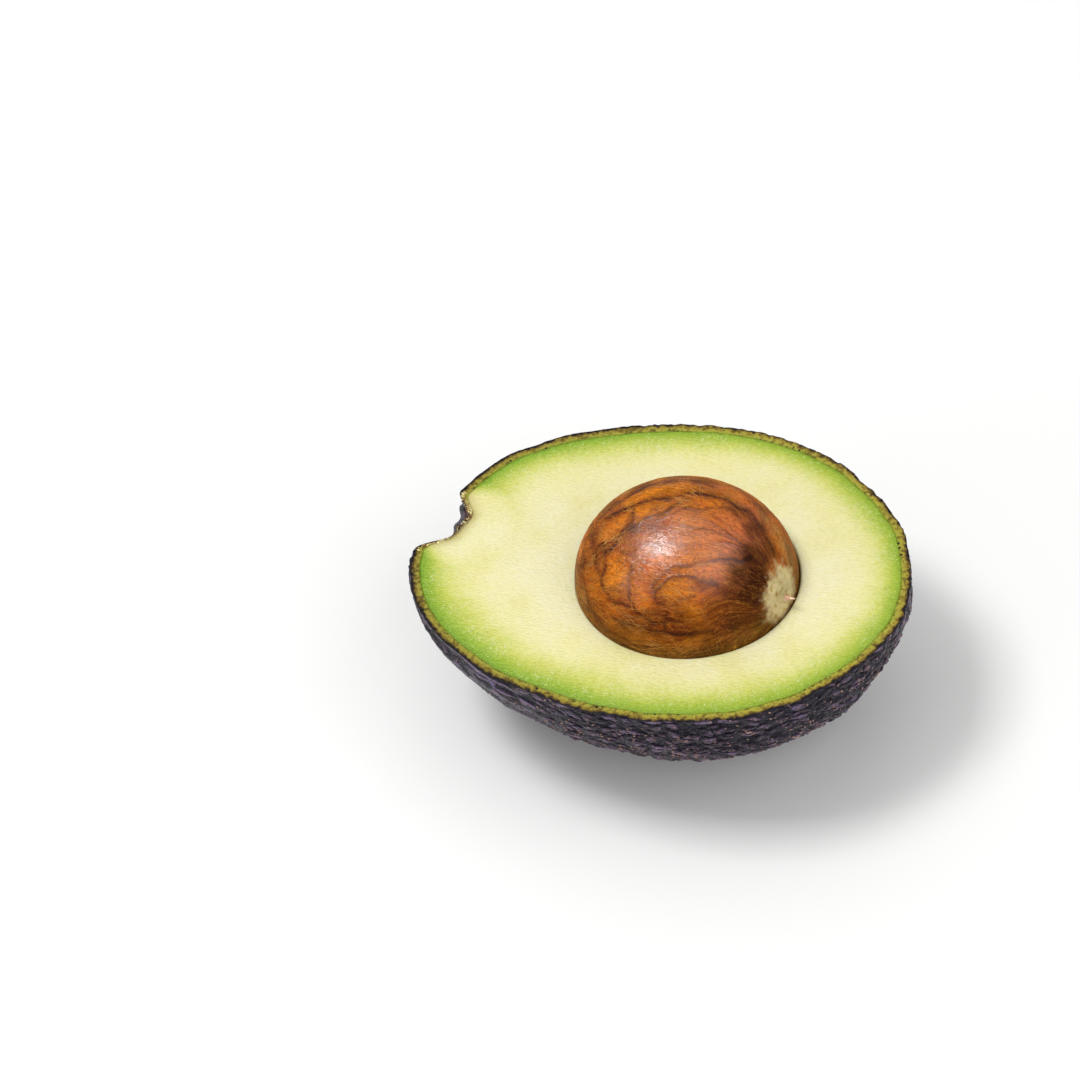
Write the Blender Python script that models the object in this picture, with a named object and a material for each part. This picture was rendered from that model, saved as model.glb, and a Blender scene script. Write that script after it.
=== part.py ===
"""Half an avocado, cut lengthways, lying on its peel with the pit still in the flesh.

Three pieces: the pebbled skin, the flesh inside it and the pit in the flesh's hollow.
The cut face is level and looks up. +X runs from the stem end to the blossom end, and the
origin is on the table under the middle of the cut face.
"""

import math

import bmesh
import bpy
from mathutils import Vector, noise

MM = 0.001

# The whole fruit's form, in millimetres, measured from the middle of the cut face
HALF_LENGTH = 46.7
HALF_WIDTH = 34.6
BLOSSOM_FULLNESS = 0.071  # how much fuller the blossom half is, and how much slimmer the stem half
CUT_HEIGHT = 34.0  # the cut face over the table: under HALF_WIDTH, which leaves a flat spot below

# The stem end is blunt and slants, and the lost stem left a dimple in it
STEM_REACH = 43.0
STEM_SLANT = math.radians(23.6)
STEM_ROUNDING = 4.3
STEM_SIDE = 0.2  # the slant is only looked at where a direction faces it by more than this
DIMPLE_SLANT = math.radians(7.9)
DIMPLE_DEPTH = 4.6
DIMPLE_FLOOR = 2.6
DIMPLE_RADIUS = 7.6

# The peel: its thickness, and the relief on its outside
SKIN_THICKNESS = 1.8
SCAR_THICKNESS = 0.8  # the thin dry skin of the dimple
SWELL_SIZE = 13.0
SWELL_HEIGHT = 0.55
PEBBLE_SIZE = 6.2
PEBBLE_HEIGHT = 1.7
PEBBLE_LEVEL = 0.2  # the share of that height by which the pebbles' tops stand over the smooth fruit
VALLEY_START = 0.6  # how far from a pebble's middle its flank ends, as a share of PEBBLE_SIZE
RIDGES_AROUND = 22
RIDGE_HEIGHT = 0.4
RIDGE_WANDER = 2.5  # how far the ridges stray from straight, in radians of their wave
RIDGE_NOISE_PLACE = Vector((7, 0, 0))  # so that the ridges don't stray in step with the swells
RIDGES_START = -12.0  # along X, where the pebbles begin to run together into ridges
RIDGES_FULL = -34.0
PEBBLES_LEFT = 0.3  # the share of the pebbles' height that is left among the ridges
SMOOTH_SPOT = 7.0  # the relief is worn flat this near the spot that the half rests on
ROUGH_AGAIN = 16.0

# The pit, and the hollow that it sits in
PIT_MIDDLE = Vector((5.0, -1.6, CUT_HEIGHT - 0.3))
PIT_RADII = Vector((20.6, 18.7, 18.4))
PIT_POINT = 0.035  # how much slimmer the pit's stem half is
PIECE_GAP = 0.3  # clear space between pieces that touch
HOLLOW_GAP = 0.35  # the same between the pit and its hollow, whose facets cut its curve short
HOLLOW_SLACK = 0.7  # how much wider the hollow is than the pit, all of it on the blossom side

# A shred of the seed coat that stands off the pit's blossom end
SHRED_AZIMUTH = math.radians(-17)
SHRED_ELEVATION = math.radians(16)
SHRED_LENGTH = 3.2
SHRED_RADIUS = 1.1
SHRED_TIP = 0.2  # the tip's radius as a share of SHRED_RADIUS
SHRED_SIDES = 8
SHRED_SUNK = 1.2

# Facets: around the bowls, and from the rim down to the lowest point
AROUND = 112
PEEL_DOWN = 30
UNDER_PEEL_DOWN = 12
HOLLOW_DOWN = 8
PIT_AROUND = 48
PIT_DOWN = 24
ON_THE_RIM = 1e-4  # points of a ball of radius 1 that are this near its middle plane lie on it


def smooth_step(low, high, value):
    """0 below low, 1 above high, and an S-curve between them."""
    share = min(max((value - low) / (high - low), 0.0), 1.0)
    return share * share * (3 - 2 * share)


def soft_min(first, second, blend):
    """The smaller of two lengths, rounded off where they meet."""
    share = min(max(0.5 + 0.5 * (second - first) / blend, 0.0), 1.0)
    return second + (first - second) * share - blend * share * (1 - share)


def slanted(angle):
    """A level direction that points out of the stem end, turned from -X towards +Y."""
    return Vector((-math.cos(angle), math.sin(angle), 0))


def dimple_share(direction):
    """1 on the floor of the stem's dimple, 0 outside it."""
    off_axis = direction.angle(slanted(DIMPLE_SLANT)) * STEM_REACH
    return 1 - smooth_step(DIMPLE_FLOOR, DIMPLE_RADIUS, off_axis)


def fruit_radius(direction):
    """From the middle of the cut face to the smooth fruit, along a unit direction."""
    along = direction.x
    across = math.hypot(direction.y, direction.z)
    oval = HALF_LENGTH * HALF_WIDTH / math.hypot(HALF_WIDTH * along, HALF_LENGTH * across)
    radius = oval * (1 + BLOSSOM_FULLNESS * along * across**2)
    facing = direction.dot(slanted(STEM_SLANT))
    if facing > STEM_SIDE:
        radius = soft_min(radius, STEM_REACH / facing, STEM_ROUNDING)
    return radius - DIMPLE_DEPTH * dimple_share(direction)


def peel_relief(point, direction):
    """The height of the pebbles, swells and ridges at a point of the smooth fruit."""
    swell = SWELL_HEIGHT * noise.noise(point / SWELL_SIZE)
    nearest_pebble = noise.voronoi(point / PEBBLE_SIZE)[0][0]
    pebble = PEBBLE_HEIGHT * (PEBBLE_LEVEL - min(nearest_pebble, VALLEY_START) ** 2)
    turn = math.atan2(direction.z, direction.y)
    wander = RIDGE_WANDER * noise.noise(point / SWELL_SIZE + RIDGE_NOISE_PLACE)
    ridge = RIDGE_HEIGHT * math.cos(RIDGES_AROUND * turn + wander)
    near_stem = smooth_step(-RIDGES_START, -RIDGES_FULL, -point.x)
    relief = swell + pebble * (1 + (PEBBLES_LEFT - 1) * near_stem) + ridge * near_stem
    from_spot = math.hypot(point.x, point.y)
    return relief * smooth_step(SMOOTH_SPOT, ROUGH_AGAIN, from_spot) * (1 - dimple_share(direction))


def cut_middle():
    return Vector((0, 0, CUT_HEIGHT))


def on_peel(direction):
    smooth = direction * fruit_radius(direction)
    return cut_middle() + smooth + direction * peel_relief(smooth, direction)


def under_peel(direction, deeper=0.0):
    """A point on the skin's inner side, or deeper than it."""
    scar = dimple_share(direction)
    thickness = SKIN_THICKNESS + (SCAR_THICKNESS - SKIN_THICKNESS) * scar
    return cut_middle() + direction * (fruit_radius(direction) - thickness - deeper)


def on_flesh(direction):
    return under_peel(direction, deeper=PIECE_GAP)


def on_pit(direction):
    radii = PIT_RADII * (1 + PIT_POINT * direction.x)
    return PIT_MIDDLE + direction * radii


def on_hollow(direction):
    """The flesh's hollow: the pit's form, a gap larger, and wider still on the blossom side."""
    wider = HOLLOW_GAP + HOLLOW_SLACK * (1 + direction.x) / 2
    point = on_pit(direction) + direction * wider
    if direction.z == 0:
        point.z = CUT_HEIGHT
    return point


def add_bowl(mesh, down, place):
    """The lower half of a ball, its points moved by `place`. Returns its open rim, point by point."""
    ball = bmesh.ops.create_uvsphere(mesh, u_segments=AROUND, v_segments=2 * down, radius=1)
    above = [vert for vert in ball["verts"] if vert.co.z > ON_THE_RIM]
    bowl = [vert for vert in ball["verts"] if vert.co.z <= ON_THE_RIM]
    bmesh.ops.delete(mesh, geom=above, context="VERTS")
    rim = [vert for vert in bowl if vert.co.z > -ON_THE_RIM]
    rim.sort(key=lambda vert: math.atan2(vert.co.y, vert.co.x))
    for vert in rim:
        vert.co.z = 0
    for vert in bowl:
        vert.co = place(vert.co.normalized()) * MM
    return rim


def add_cup(mesh, outside, outside_down, inside, inside_down):
    """A closed cup: an outer bowl and an inner one, joined by a flat rim at the cut face."""
    outer_rim = add_bowl(mesh, outside_down, outside)
    inner_rim = add_bowl(mesh, inside_down, inside)
    for here in range(AROUND):
        before = here - 1
        mesh.faces.new((outer_rim[before], outer_rim[here], inner_rim[here], inner_rim[before]))
    bmesh.ops.recalc_face_normals(mesh, faces=mesh.faces)


def flatten_foot(mesh):
    """Cuts off what is below the table, and closes the cut with one flat face."""
    whole = list(mesh.verts) + list(mesh.edges) + list(mesh.faces)
    cut = bmesh.ops.bisect_plane(
        mesh, geom=whole, dist=1e-6, plane_co=(0, 0, 0), plane_no=(0, 0, 1), clear_inner=True
    )
    foot = [item for item in cut["geom_cut"] if isinstance(item, bmesh.types.BMEdge)]
    bmesh.ops.edgeloop_fill(mesh, edges=foot)
    bmesh.ops.recalc_face_normals(mesh, faces=mesh.faces)


def add_material(obj, colour, roughness):
    material = bpy.data.materials.new(obj.name)
    material.use_nodes = True
    shader = material.node_tree.nodes["Principled BSDF"]
    shader.inputs["Base Color"].default_value = (*colour, 1)
    shader.inputs["Roughness"].default_value = roughness
    shader.inputs["Metallic"].default_value = 0
    obj.data.materials.append(material)


def add_object(name, mesh, colour, roughness):
    data = bpy.data.meshes.new(name)
    mesh.to_mesh(data)
    mesh.free()
    data.shade_smooth()
    data.set_sharp_from_angle(angle=math.radians(50))
    obj = bpy.data.objects.new(name, data)
    bpy.context.scene.collection.objects.link(obj)
    add_material(obj, colour, roughness)
    return obj


def build_skin():
    mesh = bmesh.new()
    add_cup(mesh, on_peel, PEEL_DOWN, under_peel, UNDER_PEEL_DOWN)
    flatten_foot(mesh)
    return add_object("skin", mesh, colour=(0.035, 0.026, 0.042), roughness=0.45)


def build_flesh():
    mesh = bmesh.new()
    add_cup(mesh, on_flesh, UNDER_PEEL_DOWN, on_hollow, HOLLOW_DOWN)
    return add_object("flesh", mesh, colour=(0.87, 0.82, 0.42), roughness=0.4)


def shred_cone():
    """The shred of seed coat as a cone, sunk into the pit. It is joined to the pit, then removed."""
    outwards = Vector(
        (
            math.cos(SHRED_ELEVATION) * math.cos(SHRED_AZIMUTH),
            math.cos(SHRED_ELEVATION) * math.sin(SHRED_AZIMUTH),
            math.sin(SHRED_ELEVATION),
        )
    )
    mesh = bmesh.new()
    bmesh.ops.create_cone(
        mesh,
        cap_ends=True,
        segments=SHRED_SIDES,
        radius1=SHRED_RADIUS * MM,
        radius2=SHRED_TIP * SHRED_RADIUS * MM,
        depth=SHRED_LENGTH * MM,
    )
    shred = add_object("shred", mesh, colour=(0.6, 0.4, 0.25), roughness=0.6)
    middle = on_pit(outwards) + outwards * (SHRED_LENGTH / 2 - SHRED_SUNK)
    shred.location = middle * MM
    shred.rotation_mode = "QUATERNION"
    shred.rotation_quaternion = outwards.to_track_quat("Z", "Y")
    shred.hide_render = True
    shred.display_type = "WIRE"
    return shred


def build_pit():
    mesh = bmesh.new()
    bmesh.ops.create_uvsphere(mesh, u_segments=PIT_AROUND, v_segments=PIT_DOWN, radius=1)
    for vert in mesh.verts:
        vert.co = on_pit(vert.co.normalized()) * MM
    pit = add_object("pit", mesh, colour=(0.32, 0.11, 0.025), roughness=0.35)
    join = pit.modifiers.new("shred", "BOOLEAN")
    join.operation = "UNION"
    join.object = shred_cone()
    return pit


def main():
    for obj in list(bpy.data.objects):
        bpy.data.objects.remove(obj, do_unlink=True)
    build_skin()
    build_flesh()
    build_pit()


main()
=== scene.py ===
import math
from functools import partial

import bmesh
import bpy
import numpy as np
from mathutils import Matrix, Vector, noise


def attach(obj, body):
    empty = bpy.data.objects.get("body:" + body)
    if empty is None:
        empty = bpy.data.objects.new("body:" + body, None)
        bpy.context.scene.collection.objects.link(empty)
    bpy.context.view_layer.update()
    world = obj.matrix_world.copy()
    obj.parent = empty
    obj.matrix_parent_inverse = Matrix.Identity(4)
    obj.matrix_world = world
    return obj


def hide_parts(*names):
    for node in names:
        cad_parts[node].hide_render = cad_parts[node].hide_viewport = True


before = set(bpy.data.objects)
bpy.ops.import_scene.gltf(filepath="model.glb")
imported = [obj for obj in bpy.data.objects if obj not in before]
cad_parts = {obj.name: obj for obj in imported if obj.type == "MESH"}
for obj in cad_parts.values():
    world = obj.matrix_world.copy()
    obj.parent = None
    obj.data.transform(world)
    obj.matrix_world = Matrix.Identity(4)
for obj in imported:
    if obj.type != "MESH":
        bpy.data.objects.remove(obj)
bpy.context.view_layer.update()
mm = 0.001

# The fruit's form, the same as the solid part's, in mm from the middle of the cut face
fruit = {
    "halfLength": 46.7,
    "halfWidth": 34.6,
    "blossomFullness": 0.071,
    "cutHeight": 34.0,
    "stemReach": 43.0,
    "stemSlant": 23.6,  # degrees, from the stem end towards the far side
    "stemRounding": 4.3,
    "dimpleSlant": 7.9,
    "dimpleDepth": 4.6,
    "dimpleFloor": 2.6,
    "dimpleRadius": 7.6,
    "peelThickness": 1.8,
    "scarThickness": 0.8,
    "notchDip": 0.7,
}
middle = np.array((0.0, 0.0, fruit["cutHeight"]))


def linear(hexColour):  # an sRGB hex colour as the linear colour that a shader takes
    parts = [int(hexColour[i : i + 2], 16) / 255 for i in (1, 3, 5)]
    return (*[p / 12.92 if p <= 0.04045 else ((p + 0.055) / 1.055) ** 2.4 for p in parts], 1)


def perMetre(size):  # a pattern's scale for a repeat of so many mm
    return 1 / (size * mm)


def wire(tree, node, wires):  # {input: a value, a hex colour, a socket, or a node for its first live output}
    for place, source in wires.items():
        if isinstance(source, bpy.types.Node):
            source = next(output for output in source.outputs if output.enabled)
        if isinstance(source, bpy.types.NodeSocket):
            tree.links.new(source, node.inputs[place])
        else:
            isColour = isinstance(source, str) and source.startswith("#")
            node.inputs[place].default_value = linear(source) if isColour else source


def addNode(tree, kind, *sources, stops=None, **settings):
    # kind: the node's type, for a shader node what follows "ShaderNode"
    # sources: for the live inputs in their order, or by name in a dictionary
    # stops: a colour ramp's {position: hex colour}
    node = tree.nodes.new(kind if "Node" in kind else "ShaderNode" + kind)
    for name, value in settings.items():
        setattr(node, name, value)
    live = iter([i for i, socket in enumerate(node.inputs) if socket.enabled])
    for source in sources:
        wire(tree, node, source if isinstance(source, dict) else {next(live): source})
    for i, (position, colour) in enumerate(sorted((stops or {}).items())):
        elements = node.color_ramp.elements
        if i == 0:
            elements.remove(elements[1])
        stop = elements[0] if i == 0 else elements.new(position)
        stop.position = position
        stop.color = linear(colour)
    return node


def smoothStep(low, high, value):
    share = np.clip((value - low) / (high - low), 0, 1)
    return share * share * (3 - 2 * share)


def unit(vectors):
    return vectors / np.linalg.norm(vectors, axis=1)[:, None]


def softMin(first, second, blend):
    share = np.clip(0.5 + 0.5 * (second - first) / blend, 0, 1)
    return second + (first - second) * share - blend * share * (1 - share)


def slanted(degrees):  # a level direction out of the stem end
    angle = math.radians(degrees)
    return np.array((-math.cos(angle), math.sin(angle), 0.0))


def dimpleShare(towards):  # 1 on the floor of the stem's dimple, 0 outside it
    facing = np.clip(towards @ slanted(fruit["dimpleSlant"]), -1, 1)
    offAxis = np.arccos(facing) * fruit["stemReach"]
    return 1 - smoothStep(fruit["dimpleFloor"], fruit["dimpleRadius"], offAxis)


def fruitRadius(towards):
    along = towards[:, 0]
    across = np.hypot(towards[:, 1], towards[:, 2])
    halfLength, halfWidth = fruit["halfLength"], fruit["halfWidth"]
    oval = halfLength * halfWidth / np.hypot(halfWidth * along, halfLength * across)
    radius = oval * (1 + fruit["blossomFullness"] * along * across**2)
    facing = towards @ slanted(fruit["stemSlant"])
    stemFace = fruit["stemReach"] / np.maximum(facing, 0.2)
    radius = np.where(facing > 0.2, softMin(radius, stemFace, fruit["stemRounding"]), radius)
    return radius - fruit["dimpleDepth"] * dimpleShare(towards)


def noiseAt(points, size, shift=(0, 0, 0)):  # smooth noise from -1 to 1, its lumps about size mm wide
    places = (points / size + np.array(shift)).tolist()
    return np.array([noise.noise(place) for place in places])


def addObject(name, data):
    piece = bpy.data.objects.new(name, data)
    bpy.context.scene.collection.objects.link(piece)
    return piece


def addMesh(name, points, faces, marks=None, edges=()):
    # points in mm, marks: {attribute: number for each point}
    data = bpy.data.meshes.new(name)
    data.from_pydata((points * mm).tolist(), edges, faces)
    for label, values in (marks or {}).items():
        data.attributes.new(label, "FLOAT", "POINT").data.foreach_set("value", values.astype(np.float32))
    data.shade_smooth()
    return addObject(name, data)


def addShell(name, rows):  # a closed turned shell: rows of points from its first pole, out, to its last pole
    starts = np.cumsum([0] + [len(points) for points, _ in rows])
    faces = []
    for i in range(len(rows) - 1):
        upper, lower = starts[i], starts[i + 1]
        aroundUpper, aroundLower = len(rows[i][0]), len(rows[i + 1][0])
        for here in range(max(aroundUpper, aroundLower)):
            after = (here + 1) % max(aroundUpper, aroundLower)
            if aroundUpper == 1:
                faces.append((upper, lower + here, lower + after))
            elif aroundLower == 1:
                faces.append((upper + here, lower, upper + after))
            else:
                faces.append((upper + here, lower + here, lower + after, upper + after))
    points = np.vstack([points for points, _ in rows])
    marks = {label: np.concatenate([values[label] for _, values in rows]) for label in rows[0][1]}
    return addMesh(name, points, faces, marks)


def growPiece(piece, name, sizes, grow, *finishes):
    # turns the piece into the plain mesh that its Geometry Nodes tree makes of it
    tree = bpy.data.node_groups.new(name, "GeometryNodeTree")
    for way in ("INPUT", "OUTPUT"):
        tree.interface.new_socket("Geometry", in_out=way, socket_type="NodeSocketGeometry")
    for label, value in sizes.items():
        kind = "NodeSocketInt" if isinstance(value, int) else "NodeSocketFloat"
        tree.interface.new_socket(label, in_out="INPUT", socket_type=kind)
    add = partial(addNode, tree)
    result = grow(add, add("NodeGroupInput").outputs, *finishes)
    add("NodeGroupOutput", result)
    modifier = piece.modifiers.new(name, "NODES")
    modifier.node_group = tree
    for item in tree.interface.items_tree:
        if item.in_out == "INPUT" and item.name in sizes:
            modifier[item.identifier] = sizes[item.name]
    graph = bpy.context.evaluated_depsgraph_get()
    grown = piece.evaluated_get(graph)
    made = bpy.data.meshes.new_from_object(grown, preserve_all_data_layers=True, depsgraph=graph)
    made.name = piece.name
    piece.modifiers.remove(modifier)
    piece.data = made


def instanced(add, points, lump, rotation, size, finish, ragged=None):
    # the lump on every point: made real, roughened if need be, smooth and in its finish
    wires = {"Points": points, "Instance": lump, "Rotation": rotation, "Scale": size}
    real = add("GeometryNodeRealizeInstances", add("GeometryNodeInstanceOnPoints", wires))
    if ragged is not None:
        real = add("GeometryNodeSetPosition", {"Geometry": real, "Offset": ragged})
    smooth = add("GeometryNodeSetShadeSmooth", real)
    return add("GeometryNodeSetMaterial", {"Geometry": smooth, "Material": finish})


def scatterBeads(add, inputs, shares, flatness, rotation, finish):
    # small flattened beads on the faces, fewer where a share is low; no rotation: each lies on its face
    density = shares[0]
    for share in (*shares[1:], inputs["perSquareMetre"]):
        density = add("Math", density, share, operation="MULTIPLY")
    wires = {"Mesh": inputs["Geometry"], "Density": density, "Seed": inputs["seed"]}
    points = add("GeometryNodeDistributePointsOnFaces", wires)
    bead = add("GeometryNodeMeshIcoSphere", inputs["beadRadius"], 1)
    flat = add("GeometryNodeTransform", {"Geometry": bead, "Scale": flatness})
    if rotation is None:
        rotation = add("FunctionNodeAlignRotationToVector", {"Vector": points.outputs["Normal"]}, axis="Z")
    size = add("FunctionNodeRandomValue", inputs["smallest"], inputs["largest"], {"Seed": inputs["seed"]})
    return instanced(add, points, flat, rotation, size, finish)


def startMaterial(name):  # returns the material, what adds a node to it, and its object coordinates
    material = bpy.data.materials.new(name)
    material.use_nodes = True
    add = partial(addNode, material.node_tree)
    return material, add, add("TexCoord").outputs["Object"]


def setShader(material, wires):
    wire(material.node_tree, material.node_tree.nodes["Principled BSDF"], wires)
    return material


def startMottled(name, size, detail, stops):  # a material whose colour changes in patches of about size mm
    material, add, place = startMaterial(name)
    tone = add("TexNoise", place, perMetre(size), detail)
    return material, add, add("ValToRGB", tone, stops=stops)


def settle(piece, replaced):  # the piece takes the place of a solid, or goes with the one it grows from
    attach(piece, "root")
    if replaced:
        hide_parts(replaced)
    print(piece.name + ":", len(piece.data.polygons), "faces")


# Peel

peelLook = {
    "around": 520,
    "insideRows": 14,
    "insideSpacing": 1.7,  # above 1 the rows are closer together at the cut face
    "rimRows": 8,
    "outsideRows": 160,
    "outsideSpacing": 1.12,
    "outsideFrom": 0.25,  # degrees below the cut face
    "rimRounding": 0.12,
    "fineAtCut": 0.5,
    "fineBelow": 10,  # degrees below the cut face where the fine relief is full
    "swellSize": 13.0,
    "swellHeight": 0.55,
    "lumpSize": 6.2,
    "lumpHeight": 1.2,
    "lumpLevel": 0.2,
    "lumpReach": 0.6,
    "ridgesAround": 22,
    "ridgeHeight": 0.4,
    "ridgeWander": 2.5,
    "ridgesFrom": 0.0,  # mm from the middle towards the stem
    "ridgesFull": 26.0,
    "lumpsLeft": 0.3,
    "smoothSpot": 7.0,
    "roughAgain": 16.0,
    "innerFollows": 0.6,  # how much of the swells the peel's inner side follows
}
pebbles = {
    "pebbleSize": 2.4 * mm,
    "pebbleHeight": 0.76 * mm,
    "fewerNearStem": 0.15,
    "stray": 2.8 * mm,
    "wrinkleSize": 1.0 * mm,
    "wrinkleHeight": 0.32 * mm,
    "deeperNearStem": 3.2,
}
down = np.array([[0.0, 0.0, -1.0]])


def bowlDirections(around, elevation):  # one row of directions, so many degrees below the cut face
    turn = np.arange(around) * 2 * math.pi / around
    below = math.radians(elevation)
    level = np.full(around, math.cos(below))
    return np.column_stack((np.cos(turn) * level, np.sin(turn) * level, np.full(around, -math.sin(below))))


def broadRelief(towards):  # swells, lumps and stem ridges, in mm
    look = peelLook
    smooth = towards * fruitRadius(towards)[:, None]
    swell = look["swellHeight"] * noiseAt(smooth, look["swellSize"])
    places = (smooth / look["lumpSize"]).tolist()
    nearest = np.array([noise.voronoi(place)[0][0] for place in places])
    lump = look["lumpHeight"] * (look["lumpLevel"] - np.minimum(nearest, look["lumpReach"]) ** 2)
    wander = look["ridgeWander"] * noiseAt(smooth, look["swellSize"], (7, 0, 0))
    turn = np.arctan2(towards[:, 2], towards[:, 1])
    ridge = look["ridgeHeight"] * np.cos(look["ridgesAround"] * turn + wander)
    nearStem = smoothStep(look["ridgesFrom"], look["ridgesFull"], -smooth[:, 0])
    relief = swell + lump * (1 + (look["lumpsLeft"] - 1) * nearStem) + ridge * nearStem
    return relief * reliefShare(towards), nearStem


def reliefShare(towards):  # 0 on the flat spot and in the dimple
    smooth = towards * fruitRadius(towards)[:, None]
    fromSpot = np.hypot(smooth[:, 0], smooth[:, 1])
    return smoothStep(peelLook["smoothSpot"], peelLook["roughAgain"], fromSpot) * (1 - dimpleShare(towards))


def peelDepth(towards):
    return fruit["peelThickness"] + (fruit["scarThickness"] - fruit["peelThickness"]) * dimpleShare(towards)


def innerRadius(towards):  # to the seam between peel and flesh
    relief, _ = broadRelief(towards)
    return fruitRadius(towards) - peelDepth(towards) + peelLook["innerFollows"] * relief


def peelRow(towards, depthIn, drop=0.0, fine=1.0):
    # depthIn: 0 on the outside to 1 at the seam, fine: the share of the fine relief that is added later
    relief, nearStem = broadRelief(towards)
    outer = fruitRadius(towards) + relief
    inner = innerRadius(towards)
    radius = outer + (inner - outer) * depthIn
    points = middle + towards * radius[:, None]
    dip = fruit["notchDip"] * dimpleShare(towards) * (towards[:, 2] > -0.05)
    points[:, 2] = np.maximum(points[:, 2] - drop - dip, 0)
    marks = {
        "depthIn": np.full(len(towards), depthIn) * (outer - inner),
        "fineRelief": fine * reliefShare(towards) * smoothStep(0.1, 1.6, points[:, 2]),
        "nearStem": nearStem,
        "dimple": dimpleShare(towards),
    }
    return points, marks


def buildPeelForm():
    look = peelLook
    around = look["around"]
    level = bowlDirections(around, 0)
    rows = [peelRow(down, 1, fine=0)]
    for i in range(1, look["insideRows"] + 1):
        below = 90 * (1 - i / look["insideRows"]) ** look["insideSpacing"]
        rows.append(peelRow(bowlDirections(around, below), 1, fine=0))
    cutFine = look["fineAtCut"] + (1 - look["fineAtCut"]) * broadRelief(level)[1]
    for i in range(1, look["rimRows"]):
        share = i / look["rimRows"]
        rows.append(peelRow(level, 1 - share, fine=share * cutFine))
    rounding = look["rimRounding"]
    for angle in (30, 60):
        turn = math.radians(angle)
        inwards = rounding * (1 - math.sin(turn)) / fruit["peelThickness"]
        rows.append(peelRow(level, inwards, rounding * (1 - math.cos(turn)), cutFine))
    first = look["outsideFrom"]
    for i in range(look["outsideRows"]):
        below = first + (90 - first) * (i / look["outsideRows"]) ** look["outsideSpacing"]
        fine = cutFine + (1 - cutFine) * smoothStep(0, look["fineBelow"], below)
        rows.append(peelRow(bowlDirections(around, below), 0, fine=fine))
    rows.append(peelRow(down, 0))
    return addShell("peel", rows)


def growPebbles(add, inputs, outside, cutEdge):
    # round pebbles of two sizes with sharp valleys, and long wrinkles that take over towards the stem
    fine, nearStem, depthIn = (
        add("GeometryNodeInputNamedAttribute", name) for name in ("fineRelief", "nearStem", "depthIn")
    )
    position = add("GeometryNodeInputPosition")
    fromMiddle = add("VectorMath", position, middle * mm, operation="SUBTRACT")
    cloud = add("TexNoise", position, perMetre(4), 3.0)
    centred = add("VectorMath", cloud.outputs["Color"], (0.5, 0.5, 0.5), operation="SUBTRACT")
    strayed = add("VectorMath", centred, inputs["stray"], operation="SCALE")
    warped = add("VectorMath", position, strayed, operation="ADD")
    flatter = add("VectorMath", warped, (0.7, 0.7, 1.35), operation="MULTIPLY")
    perPlate, perDome = (
        add("Math", share, inputs["pebbleSize"], operation="DIVIDE") for share in (1.0, 1.9)
    )
    edge = add("TexVoronoi", flatter, perPlate, feature="DISTANCE_TO_EDGE")
    plate = add("MapRange", edge, 0.0, 0.2, 0.0, 0.55, interpolation_type="SMOOTHSTEP")
    steep = add("Math", add("TexVoronoi", flatter, perDome), 1.5, operation="POWER")
    dome = add("MapRange", steep, 0.0, 0.62, 0.45, 0.0)
    level = add("Math", plate, dome, operation="ADD")
    calmer = add("MapRange", nearStem, 0.0, 1.0, 1.0, inputs["fewerNearStem"])
    pebble = add("Math", level, 0.55, operation="SUBTRACT")
    for share in (calmer, inputs["pebbleHeight"]):
        pebble = add("Math", pebble, share, operation="MULTIPLY")

    # the wrinkles' course: round the fruit's long axis, hardly changing along it
    bend = add("VectorMath", strayed, 0.35, operation="SCALE")
    bent = add("VectorMath", fromMiddle, bend, operation="ADD")
    crosswise = add("VectorMath", bent, (0.0, 1.0, 1.0), operation="MULTIPLY")
    aroundAxis = add("VectorMath", crosswise, operation="NORMALIZE")
    onRing = add("VectorMath", aroundAxis, 30 * mm, operation="SCALE")
    lengthwise = add("VectorMath", bent, (0.16, 0.0, 0.0), operation="MULTIPLY")
    stretched = add("VectorMath", onRing, lengthwise, operation="ADD")
    perWrinkle = add("Math", 1.0, inputs["wrinkleSize"], operation="DIVIDE")
    wrinkles = add("TexNoise", stretched, perWrinkle, 2.0, 0.6)
    wrinkleLevel = add("Math", wrinkles, 0.5, operation="SUBTRACT")
    deeper = add("MapRange", nearStem, 0.0, 1.0, 1.0, inputs["deeperNearStem"])
    wrinkle = add("Math", wrinkleLevel, deeper, operation="MULTIPLY")
    wrinkleUp = add("Math", wrinkle, inputs["wrinkleHeight"], operation="MULTIPLY")
    total = add("Math", pebble, wrinkleUp, operation="ADD")
    height = add("Math", total, fine, operation="MULTIPLY")
    outwards = add("VectorMath", fromMiddle, operation="NORMALIZE")
    offset = add("VectorMath", outwards, height, operation="SCALE")
    wrinkleTop = add("Math", wrinkle, 0.5, operation="MULTIPLY")
    top = add("Math", level, wrinkleTop, operation="ADD")
    marked = inputs["Geometry"]
    for name, kind, value in (
        ("pebbleTop", "FLOAT", top),
        ("plateCourse", "FLOAT_VECTOR", flatter),
        ("ridgeCourse", "FLOAT_VECTOR", stretched),
    ):
        wires = {"Geometry": marked, "Name": name, "Value": value}
        marked = add("GeometryNodeStoreNamedAttribute", wires, data_type=kind)
    moved = add("GeometryNodeSetPosition", {"Geometry": marked, "Offset": offset})
    real = add("GeometryNodeRealizeInstances", moved)
    peeled = add("GeometryNodeSetMaterial", {"Geometry": real, "Material": outside})
    isCut = add("Math", depthIn, 0.04, operation="GREATER_THAN")
    return add("GeometryNodeSetMaterial", {"Geometry": peeled, "Selection": isCut, "Material": cutEdge})


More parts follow.
